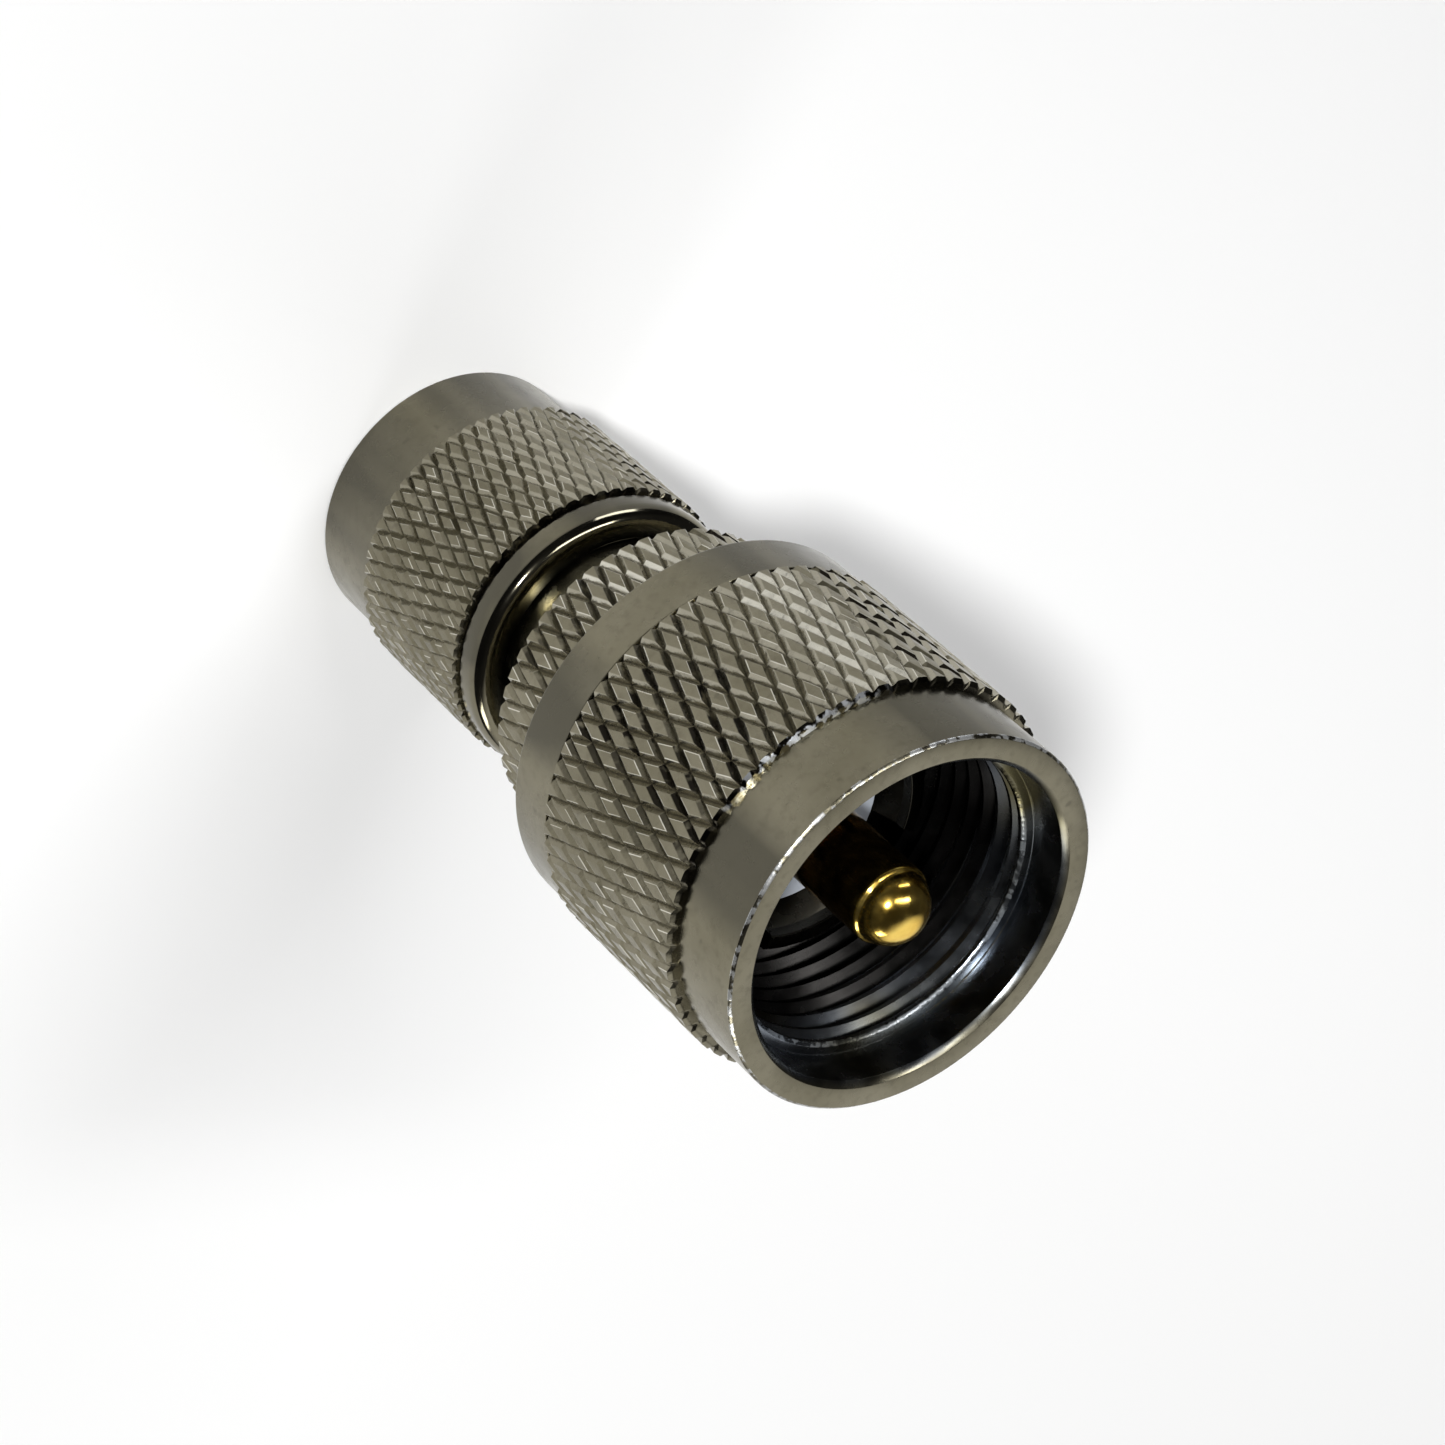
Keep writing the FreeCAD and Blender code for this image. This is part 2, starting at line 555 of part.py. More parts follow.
ferrule_slits = slots("ferrule_slits", "ferrule_bore - overrun", "ferrule_radius + overrun",
                      "slit_width", "ferrule_recess - overrun", "slit_length + overrun",
                      "slit_count")
rear_bored = boolean("Part::Cut", "rear_bored", rear_outside, rear_hollow)
tnc_plug_body = boolean("Part::Cut", "tnc_plug_body", rear_bored, ferrule_slits)


# Small insulator and the small centre pin, which plugs into the large one.
tnc_pin_tip = "(ferrule_recess + tnc_pin_recess)"
tnc_pin_foot = f"({tnc_insulator_bottom} - fit_clearance)"
pin_collar_bottom = f"({tnc_insulator_top} + fit_clearance)"
pin_collar_top = f"({uhf_insulator_bottom} - fit_clearance)"

tnc_insulator = turned("tnc_insulator", [
    ("tnc_pin_stem + fit_clearance", tnc_insulator_bottom),
    ("ferrule_bore - fit_clearance", tnc_insulator_bottom),
    ("ferrule_bore - fit_clearance", tnc_insulator_top),
    ("tnc_pin_stem + fit_clearance", tnc_insulator_top),
])
tnc_centre_pin = turned("tnc_centre_pin", [
    ("0", tnc_pin_tip),
    ("tnc_pin_flat", tnc_pin_tip),
    ("tnc_pin_radius", f"{tnc_pin_tip} + tnc_pin_taper"),
    ("tnc_pin_radius", tnc_pin_foot),
    ("tnc_pin_stem", tnc_pin_foot),
    ("tnc_pin_stem", pin_collar_bottom),
    ("pin_collar_radius", pin_collar_bottom),
    ("pin_collar_radius", pin_collar_top),
    ("pin_spigot_radius", pin_collar_top),
    ("pin_spigot_radius", f"{uhf_pin_end} + pin_spigot_length"),
    ("0", f"{uhf_pin_end} + pin_spigot_length"),
])


# Gasket round the foot of the ferrule, against the end of the journal.
tnc_gasket = turned("tnc_gasket", [
    ("ferrule_radius + fit_clearance", f"{tnc_journal_end} - gasket_length"),
    ("gasket_radius", f"{tnc_journal_end} - gasket_length"),
    ("gasket_radius", f"{tnc_journal_end} - fit_clearance"),
    ("ferrule_radius + fit_clearance", f"{tnc_journal_end} - fit_clearance"),
])


pieces = [
    uhf_coupling_nut, uhf_retaining_ring, uhf_plug_body, uhf_insulator, uhf_centre_pin,
    tnc_coupling_nut, tnc_retaining_ring, tnc_plug_body, tnc_insulator, tnc_centre_pin,
    tnc_gasket,
]

doc.recompute()
for item in doc.Objects:
    if "Invalid" in item.State or "Error" in item.State:
        raise RuntimeError(item.Label + " failed: " + str(item.State))
for piece in pieces:
    if piece.Shape.isNull() or not piece.Shape.isValid():
        raise RuntimeError(piece.Label + " has no valid shape")
    if len(piece.Shape.Solids) != 1:
        raise RuntimeError(piece.Label + " is not one solid")

os.makedirs("parts", exist_ok=True)
for piece in pieces:
    piece.Shape.exportStep("parts/" + piece.Label + ".step")
    print(piece.Label, round(piece.Shape.Volume, 2), "mm3")
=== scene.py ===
import math

import bmesh
import bpy
from mathutils import Euler, Matrix, Vector, noise


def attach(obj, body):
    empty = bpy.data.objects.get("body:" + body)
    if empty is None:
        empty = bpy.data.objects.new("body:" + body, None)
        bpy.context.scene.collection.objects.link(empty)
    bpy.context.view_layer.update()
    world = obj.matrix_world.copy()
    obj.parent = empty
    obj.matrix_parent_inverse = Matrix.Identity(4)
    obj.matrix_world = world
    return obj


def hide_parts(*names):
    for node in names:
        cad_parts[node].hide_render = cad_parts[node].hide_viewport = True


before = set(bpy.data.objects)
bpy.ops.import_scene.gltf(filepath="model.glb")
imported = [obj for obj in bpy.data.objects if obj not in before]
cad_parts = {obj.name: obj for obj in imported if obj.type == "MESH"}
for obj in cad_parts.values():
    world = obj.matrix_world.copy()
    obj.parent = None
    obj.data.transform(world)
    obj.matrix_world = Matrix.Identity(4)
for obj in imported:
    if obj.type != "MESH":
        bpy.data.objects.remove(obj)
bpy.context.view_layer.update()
mm = 0.001  # the sizes below are in millimetres, Blender works in metres
fullTurn = 2 * math.pi
noise.seed_set(7)  # without a seed, noise_vector gives another waver in each run
print("frame loaded:", sorted(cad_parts))


# camera, floor and light

cameraView = {
    "place": (-0.9232, -149.8782, 157.067),
    "turn": (-36.941, -33.402, 143.792),
    "lens": 112.11,
}

studio = {
    "floorRadius": 900.0,
    "floorColour": (0.95, 0.95, 0.945),
    "floorRoughness": 0.9,
    "floorShine": 0.1,
    "brightSide": (0.35, 0.77, 0.53),
    "brightColour": (1.05, 1.05, 1.05),
    "dimColour": (0.03, 0.03, 0.032),
    "edges": (0.72, 0.95),  # cosines between which the bright side fades in
    "softboxes": {
        "lampSoftbox": {"place": (-283, -177, 484), "width": 380, "height": 75, "watts": 1.1,
                        "colour": (1.0, 1.0, 1.0)},
        "sideSoftbox": {"place": (410, 165, 190), "width": 110, "height": 130, "watts": 0.4,
                        "colour": (1.0, 1.0, 1.0)},
        "lowSoftbox": {"place": (-450, -150, 70), "width": 240, "height": 110, "watts": 1.0,
                       "colour": (0.97, 0.98, 1.0)},
    },
    "softboxAim": (0, 0, 20),
    "pool": {"place": (190, -1310, 1190), "aim": (133, 57, 0), "halfAngle": 7.6, "blend": 0.2,
             "size": 90, "watts": 100.0},
}


def placeCamera(view):
    camera = bpy.data.objects.new("photoCamera", bpy.data.cameras.new("photoCamera"))
    camera.location = Vector(view["place"]) * mm
    camera.rotation_euler = Euler([math.radians(a) for a in view["turn"]])
    camera.data.lens = view["lens"]
    camera.data.sensor_width = 36
    camera.data.sensor_fit = "HORIZONTAL"
    camera.data.clip_start = 0.005
    bpy.context.scene.collection.objects.link(camera)
    bpy.context.scene.camera = camera


def layFloor():
    bm = bmesh.new()
    bmesh.ops.create_circle(bm, cap_ends=True, segments=96, radius=studio["floorRadius"] * mm)
    mesh = bpy.data.meshes.new("studioFloor")
    bm.to_mesh(mesh)
    bm.free()
    floor = bpy.data.objects.new("studioFloor", mesh)
    bpy.context.scene.collection.objects.link(floor)
    material = bpy.data.materials.new("palePaper")
    material.use_nodes = True
    shader = material.node_tree.nodes["Principled BSDF"]
    shader.inputs["Base Color"].default_value = (*studio["floorColour"], 1)
    shader.inputs["Roughness"].default_value = studio["floorRoughness"]
    shader.inputs["Specular IOR Level"].default_value = studio["floorShine"]
    mesh.materials.append(material)


def hangLamp(name, light, place, aim):
    lamp = bpy.data.objects.new(name, light)
    lamp.location = Vector(place) * mm
    lamp.rotation_euler = (Vector(aim) - Vector(place)).to_track_quat("-Z", "Y").to_euler()
    bpy.context.scene.collection.objects.link(lamp)


def lightStudio():
    for name, box in studio["softboxes"].items():
        light = bpy.data.lights.new(name, "AREA")
        light.shape = "RECTANGLE"
        light.size = box["width"] * mm
        light.size_y = box["height"] * mm
        light.energy = box["watts"]
        light.color = box["colour"]
        hangLamp(name, light, box["place"], studio["softboxAim"])
    pool = studio["pool"]
    light = bpy.data.lights.new("poolLamp", "SPOT")
    light.energy = pool["watts"]
    light.spot_size = math.radians(2 * pool["halfAngle"])
    light.spot_blend = pool["blend"]
    light.shadow_soft_size = pool["size"] * mm
    hangLamp("poolLamp", light, pool["place"], pool["aim"])


def paintWorld():
    world = bpy.data.worlds.new("studioWorld")
    bpy.context.scene.world = world
    world.use_nodes = True
    nodes = world.node_tree.nodes
    links = world.node_tree.links
    place = nodes.new("ShaderNodeTexCoord")
    side = nodes.new("ShaderNodeVectorMath")
    side.operation = "DOT_PRODUCT"
    side.inputs[1].default_value = Vector(studio["brightSide"]).normalized()
    spread = nodes.new("ShaderNodeMapRange")
    spread.interpolation_type = "SMOOTHSTEP"
    spread.inputs["From Min"].default_value = studio["edges"][0]
    spread.inputs["From Max"].default_value = studio["edges"][1]
    blend = nodes.new("ShaderNodeMix")
    blend.data_type = "RGBA"
    blend.inputs["A"].default_value = (*studio["dimColour"], 1)
    blend.inputs["B"].default_value = (*studio["brightColour"], 1)
    links.new(place.outputs["Generated"], side.inputs[0])
    links.new(side.outputs["Value"], spread.inputs["Value"])
    links.new(spread.outputs["Result"], blend.inputs["Factor"])
    links.new(blend.outputs["Result"], nodes["Background"].inputs["Color"])


placeCamera(cameraView)
layFloor()
lightStudio()
paintWorld()
bpy.context.scene.view_settings.view_transform = "Standard"
print("camera, floor and light are set")


# finishes

def newFinish(name):
    material = bpy.data.materials.new(name)
    material.use_nodes = True
    nodes = material.node_tree.nodes
    links = material.node_tree.links
    return material, nodes, links, nodes["Principled BSDF"]


def grainAt(nodes, links, scale, stretch=(1, 1, 1), detail=4.0):
    place = nodes.new("ShaderNodeTexCoord")
    mapping = nodes.new("ShaderNodeMapping")
    mapping.inputs["Scale"].default_value = stretch
    grain = nodes.new("ShaderNodeTexNoise")
    grain.inputs["Scale"].default_value = scale
    grain.inputs["Detail"].default_value = detail
    links.new(place.outputs["Object"], mapping.inputs["Vector"])
    links.new(mapping.outputs["Vector"], grain.inputs["Vector"])
    return grain.outputs["Fac"]


def rangeOf(nodes, links, source, low, high, start, end):
    span = nodes.new("ShaderNodeMapRange")
    span.inputs["From Min"].default_value = low
    span.inputs["From Max"].default_value = high
    span.inputs["To Min"].default_value = start
    span.inputs["To Max"].default_value = end
    links.new(source, span.inputs["Value"])
    return span.outputs["Result"]


def mixOf(nodes, links, factor, first, second):
    mix = nodes.new("ShaderNodeMix")
    mix.data_type = "RGBA"
    links.new(factor, mix.inputs["Factor"])
    for socket, colour in (("A", first), ("B", second)):
        if isinstance(colour, tuple):
            mix.inputs[socket].default_value = (*colour, 1)
        else:
            links.new(colour, mix.inputs[socket])
    return mix.outputs["Result"]


def bumpOf(nodes, links, height, distance, strength=1.0, under=None):
    bump = nodes.new("ShaderNodeBump")
    bump.inputs["Distance"].default_value = distance * mm
    bump.inputs["Strength"].default_value = strength
    links.new(height, bump.inputs["Height"])
    if under:
        links.new(under, bump.inputs["Normal"])
    return bump.outputs["Normal"]


def productOf(nodes, links, first, second):
    product = nodes.new("ShaderNodeMath")
    product.operation = "MULTIPLY"
    links.new(first, product.inputs[0])
    links.new(second, product.inputs[1])
    return product.outputs["Value"]


def attributeOf(nodes, name):
    layer = nodes.new("ShaderNodeAttribute")
    layer.attribute_name = name
    return layer.outputs["Fac"]


# how many cells each layer of grain has to a metre
grainSizes = {
    "cloud": 260,
    "streak": 2200,
    "speck": 1500,
    "rub": 900,
    "flankShadePatch": 1500,
    "chip": 2300,
    "drift": 150,
    "latheLine": 90,
    "orangePeel": 2600,
    "rolledDent": 1300,
}

# a grain or painted layer between the first two numbers becomes a share between the last two
nickelSpans = {
    "cloud": (0.35, 0.65, 0, 1),
    "streak": (0.5, 0.8, 0, 0.55),
    "speck": (0.7, 0.78, 0, 0.35),
    # painted shade on the neck, spread by the cloud
    "tintShare": (0.2, 0.8, 0.7, 0.95),
    # painted shade bands round the barrel
    "shadeBand": (0, 0.75, 0, 0.95),
    "facetSheen": (0.1, 0.6, 0, 1),
    "rubbedGlint": (0.75, 1.0, 0, 1),
    # painted shade in the grooves
    "groove": (0.7, 1, 0, 0.55),
    # painted dark reflections on the flanks, broken into patches
    "flankShade": (-0.12, -0.6, 0, 1),
    "flankShadePatch": (0.32, 0.46, 0.2, 1),
    # chipped plating and painted glints
    "bare": (0.46, 0.54, 0, 1),
    # painted reflections in the bore drift between warm and cool
    "drift": (0.42, 0.58, 0, 1),
}

nickelLook = {
    "bright": (0.22, 0.202, 0.146),
    "dull": (0.172, 0.157, 0.108),
    # painted shade on the neck
    "neck": (0.135, 0.122, 0.078),
    "streak": (0.12, 0.108, 0.075),
    # painted shade bands round the barrel
    "shadeBand": (0.088, 0.082, 0.062),
    "speck": (0.07, 0.065, 0.05),
    # painted dark reflections on the flanks
    "flankShade": (0.014, 0.012, 0.009),
    # painted shade in the grooves
    "groove": (0.055, 0.048, 0.033),
    # painted sheen on the facets, and rubbed plating with painted highlights on the edges
    "facetSheen": (0.33, 0.31, 0.245),
    "rubbedGlint": (0.6, 0.58, 0.5),
    # chipped plating, with painted glints and a painted highlight ring
    "bare": (0.75, 0.78, 0.82),
    # painted reflections on the bore wall, painted shade deep inside
    "boreWarmReflection": (0.11, 0.098, 0.05),
    "boreCoolReflection": (0.27, 0.3, 0.34),
    "boreDeepShade": (0.022, 0.021, 0.02),
    "smooth": 0.19,
    "worn": 0.33,
    "polished": 0.42,  # share of the roughness that polishing leaves
    "chipMetal": 0.25,  # chips, and the painted glints, are too rough to mirror much
    # heights of the relief, in millimetres
    "lathe": 0.0016,
    "orangePeel": 0.0012,
    "chip": 0.06,
    "dent": 0.05,
}


def coatNickel(nodes, links, tint):
    # cloudy plating with streaks and specks; where a tint is given, it is painted shade mixed over
    # the plating
    cloud = grainAt(nodes, links, grainSizes["cloud"], detail=6)
    clear = rangeOf(nodes, links, cloud, *nickelSpans["cloud"])
    colour = mixOf(nodes, links, clear, nickelLook["dull"], nickelLook["bright"])
    for layer, detail in (("streak", 3), ("speck", 1.5)):
        grain = grainAt(nodes, links, grainSizes[layer], detail=detail)
        share = rangeOf(nodes, links, grain, *nickelSpans[layer])
        colour = mixOf(nodes, links, share, colour, nickelLook[layer])
    if tint:
        tintShare = rangeOf(nodes, links, cloud, *nickelSpans["tintShare"])
        colour = mixOf(nodes, links, tintShare, colour, tint)
    return colour


def paintKnurlLight(nodes, links, colour):
    # painted shade bands, painted sheen on the facets, rubbed edges with painted highlights,
    # painted shade in the grooves, then flanks with painted dark reflections
    side = attributeOf(nodes, "side")
    painted = {
        "shadeBand": attributeOf(nodes, "shadeBand"),
        "facetSheen": side,
        "rubbedGlint": side,
        "groove": attributeOf(nodes, "depth"),
    }
    for layer, source in painted.items():
        share = rangeOf(nodes, links, source, *nickelSpans[layer])
        colour = mixOf(nodes, links, share, colour, nickelLook[layer])
    patch = grainAt(nodes, links, grainSizes["flankShadePatch"], detail=2)
    patch = rangeOf(nodes, links, patch, *nickelSpans["flankShadePatch"])
    flank = rangeOf(nodes, links, side, *nickelSpans["flankShade"])
    flankShade = productOf(nodes, links, flank, patch)
    return mixOf(nodes, links, flankShade, colour, nickelLook["flankShade"])


def shadeBore(nodes, links, colour):
    # painted reflections on the wall drift from warm to cool, and painted shade blackens it
    # inwards
    drift = grainAt(nodes, links, grainSizes["drift"], detail=1)
    drift = rangeOf(nodes, links, drift, *nickelSpans["drift"])
    wall = mixOf(nodes, links, drift, nickelLook["boreWarmReflection"], nickelLook["boreCoolReflection"])
    colour = mixOf(nodes, links, attributeOf(nodes, "wall"), colour, wall)
    return mixOf(nodes, links, attributeOf(nodes, "deep"), colour, nickelLook["boreDeepShade"])


def nickelFinish(name, knurled=False, tint=None):
    material, nodes, links, shader = newFinish(name)
    colour = coatNickel(nodes, links, tint)
    rub = grainAt(nodes, links, grainSizes["rub"])
    worn = rangeOf(nodes, links, rub, 0.3, 0.75, nickelLook["smooth"], nickelLook["worn"])
    lathe = grainAt(nodes, links, grainSizes["latheLine"], stretch=(1, 1, 110), detail=3)
    orange = grainAt(nodes, links, grainSizes["orangePeel"])
    normal = bumpOf(nodes, links, lathe, nickelLook["lathe"])
    normal = bumpOf(nodes, links, orange, nickelLook["orangePeel"], under=normal)
    shader.inputs["Metallic"].default_value = 1
    if knurled:
        colour = paintKnurlLight(nodes, links, colour)
        # chipped plating at the mouth, painted glints at the knurl's end and a painted highlight
        # ring at the bore's step
        nickAndGlint = attributeOf(nodes, "nickAndGlint")
        chip = grainAt(nodes, links, grainSizes["chip"], detail=2)
        bare = rangeOf(nodes, links, chip, *nickelSpans["bare"])
        chipAndGlintShare = productOf(nodes, links, nickAndGlint, bare)
        colour = mixOf(nodes, links, chipAndGlintShare, colour, nickelLook["bare"])
        metal = rangeOf(nodes, links, chipAndGlintShare, 0, 1, 1, nickelLook["chipMetal"])
        links.new(metal, shader.inputs["Metallic"])
        colour = shadeBore(nodes, links, colour)
        polish = attributeOf(nodes, "polish")
        polish = rangeOf(nodes, links, polish, 0, 1, 1, nickelLook["polished"])
        worn = productOf(nodes, links, worn, polish)
        chips = productOf(nodes, links, nickAndGlint, chip)
        normal = bumpOf(nodes, links, chips, nickelLook["chip"], under=normal)
        dent = grainAt(nodes, links, grainSizes["rolledDent"])
        dent = productOf(nodes, links, attributeOf(nodes, "rolled"), dent)
        normal = bumpOf(nodes, links, dent, nickelLook["dent"], under=normal)
    links.new(colour, shader.inputs["Base Color"])
    links.new(worn, shader.inputs["Roughness"])
    links.new(normal, shader.inputs["Normal"])
    return material


goldLook = {
    "bright": (0.87, 0.62, 0.15),
    "deep": (0.72, 0.46, 0.08),
    # painted shade on the shaft deep in the bore
    "shaft": (0.46, 0.27, 0.06),
    "smooth": 0.1,
    "worn": 0.24,
    "grains": {"cloud": 700, "rub": 1600, "latheLine": 120, "dent": 1100},
    # heights of the relief, in millimetres
    "lathe": 0.0012,
    "dent": 0.03,
}


def goldFinish(name, shaftTop=None):
    material, nodes, links, shader = newFinish(name)
    grains = goldLook["grains"]
    cloud = grainAt(nodes, links, grains["cloud"])
    colour = mixOf(nodes, links, rangeOf(nodes, links, cloud, 0.35, 0.65, 0, 1),
                   goldLook["deep"], goldLook["bright"])
    if shaftTop:  # painted shade: the shaft below the dome is darker brown
        place = nodes.new("ShaderNodeTexCoord")
        parts = nodes.new("ShaderNodeSeparateXYZ")
        links.new(place.outputs["Object"], parts.inputs["Vector"])
        tip = rangeOf(nodes, links, parts.outputs["Z"], shaftTop[0] * mm, shaftTop[1] * mm, 0, 1)
        colour = mixOf(nodes, links, tip, goldLook["shaft"], colour)
    links.new(colour, shader.inputs["Base Color"])
    rub = grainAt(nodes, links, grains["rub"])
    links.new(rangeOf(nodes, links, rub, 0.3, 0.7, goldLook["smooth"], goldLook["worn"]),
              shader.inputs["Roughness"])
    shader.inputs["Metallic"].default_value = 1
    lathe = grainAt(nodes, links, grains["latheLine"], stretch=(1, 1, 90), detail=2)
    dents = grainAt(nodes, links, grains["dent"], detail=1)
    normal = bumpOf(nodes, links, lathe, goldLook["lathe"])
    normal = bumpOf(nodes, links, dents, goldLook["dent"], under=normal)
    links.new(normal, shader.inputs["Normal"])
    return material


plasticLooks = {
    # painted shade with a cool cast on the white insulator
    "shadedInsulator": {"pale": (0.56, 0.6, 0.66), "deep": (0.48, 0.52, 0.58), "smooth": 0.35,
                       "worn": 0.5, "grain": 2500, "relief": 0.002},
    "darkGasket": {"pale": (0.1, 0.095, 0.09), "deep": (0.07, 0.068, 0.066), "smooth": 0.45,
                   "worn": 0.6, "grain": 3000, "relief": 0.004},
    "cloudGrain": 300,
}


def plasticFinish(name):
    look = plasticLooks[name]
    material, nodes, links, shader = newFinish(name)
    cloud = grainAt(nodes, links, plasticLooks["cloudGrain"])
    clear = rangeOf(nodes, links, cloud, 0.3, 0.7, 0, 1)
    links.new(mixOf(nodes, links, clear, look["deep"], look["pale"]),
              shader.inputs["Base Color"])
    fine = grainAt(nodes, links, look["grain"])
    links.new(rangeOf(nodes, links, fine, 0.3, 0.7, look["smooth"], look["worn"]),
              shader.inputs["Roughness"])
    links.new(bumpOf(nodes, links, fine, look["relief"]), shader.inputs["Normal"])
    return material


bronzeLook = {
    "bright": (0.52, 0.34, 0.16),
    "deep": (0.42, 0.25, 0.1),
    "smooth": 0.3,
    "worn": 0.42,
    "cloudGrain": 500,
    "drawnGrain": 100,
    "relief": 0.002,
}


def bronzeFinish(name):
    material, nodes, links, shader = newFinish(name)
    cloud = grainAt(nodes, links, bronzeLook["cloudGrain"])
    clear = rangeOf(nodes, links, cloud, 0.3, 0.7, 0, 1)
    links.new(mixOf(nodes, links, clear, bronzeLook["deep"], bronzeLook["bright"]),
              shader.inputs["Base Color"])
    links.new(rangeOf(nodes, links, cloud, 0.3, 0.7, bronzeLook["smooth"], bronzeLook["worn"]),
              shader.inputs["Roughness"])
    shader.inputs["Metallic"].default_value = 1
    drawn = grainAt(nodes, links, bronzeLook["drawnGrain"], stretch=(1, 1, 40))
    links.new(bumpOf(nodes, links, drawn, bronzeLook["relief"]), shader.inputs["Normal"])
    return material


neckNickel = nickelFinish("neckNickel", tint=nickelLook["neck"])
nickelKnurl = nickelFinish("nickelKnurl", knurled=True)
gold = goldFinish("goldPlate")
shadedGold = goldFinish("goldPlateShaded", shaftTop=(36.0, 37.0))
shadedInsulator = plasticFinish("shadedInsulator")
darkGasket = plasticFinish("darkGasket")
springBronze = bronzeFinish("springBronze")
print("finishes are made")


# shaping helpers

# distances in millimetres below which points are one
weldBy = {"turned": 0.0005, "cut": 0.0005, "knurl": 0.002}
roundingSteps = {"largeFrom": 0.1, "large": 8, "small": 2}


def outlineFace(bm, corners):
    # corners are (radius, height) or (radius, height, rounding)
    verts = [bm.verts.new((corner[0] * mm, 0, corner[1] * mm)) for corner in corners]
    bm.faces.new(verts)
    sizes = sorted({corner[2] for corner in corners if len(corner) > 2})
    for size in sizes:
        picked = [v for v, corner in zip(verts, corners) if len(corner) > 2 and corner[2] == size]
        steps = roundingSteps["large" if size > roundingSteps["largeFrom"] else "small"]
        bmesh.ops.bevel(bm, geom=picked, offset=size * mm, offset_type="OFFSET", segments=steps,
                        profile=0.5, affect="VERTICES", material=-1, clamp_overlap=True)


def turnedMesh(corners, steps):
    bm = bmesh.new()
    outlineFace(bm, corners)
    bmesh.ops.delete(bm, geom=bm.faces[:], context="FACES_ONLY")
    bmesh.ops.spin(bm, geom=bm.verts[:] + bm.edges[:], cent=(0, 0, 0), axis=(0, 0, 1),
                   dvec=(0, 0, 0), angle=fullTurn, steps=steps, use_merge=True)
    bmesh.ops.remove_doubles(bm, verts=bm.verts, dist=weldBy["turned"] * mm)
    onAxis = [edge for edge in bm.edges if edge.is_wire]
    bmesh.ops.delete(bm, geom=onAxis, context="EDGES")
    bmesh.ops.recalc_face_normals(bm, faces=bm.faces)
    return meshFrom(bm, "turned")


def meshFrom(bm, name):
    mesh = bpy.data.meshes.new(name)
    bm.to_mesh(mesh)
    bm.free()
    return mesh


def joinedMesh(name, meshes):
    bm = bmesh.new()
    for mesh in meshes:
        bm.from_mesh(mesh)
        bpy.data.meshes.remove(mesh)
    return meshFrom(bm, name)


def onBarrel(radius, angle, height):
    return Vector((radius * math.cos(angle), radius * math.sin(angle), height)) * mm


def pushTo(vert, radius):
    flat = Vector((vert.co.x, vert.co.y)).normalized() * radius * mm
    vert.co.x = flat.x
    vert.co.y = flat.y


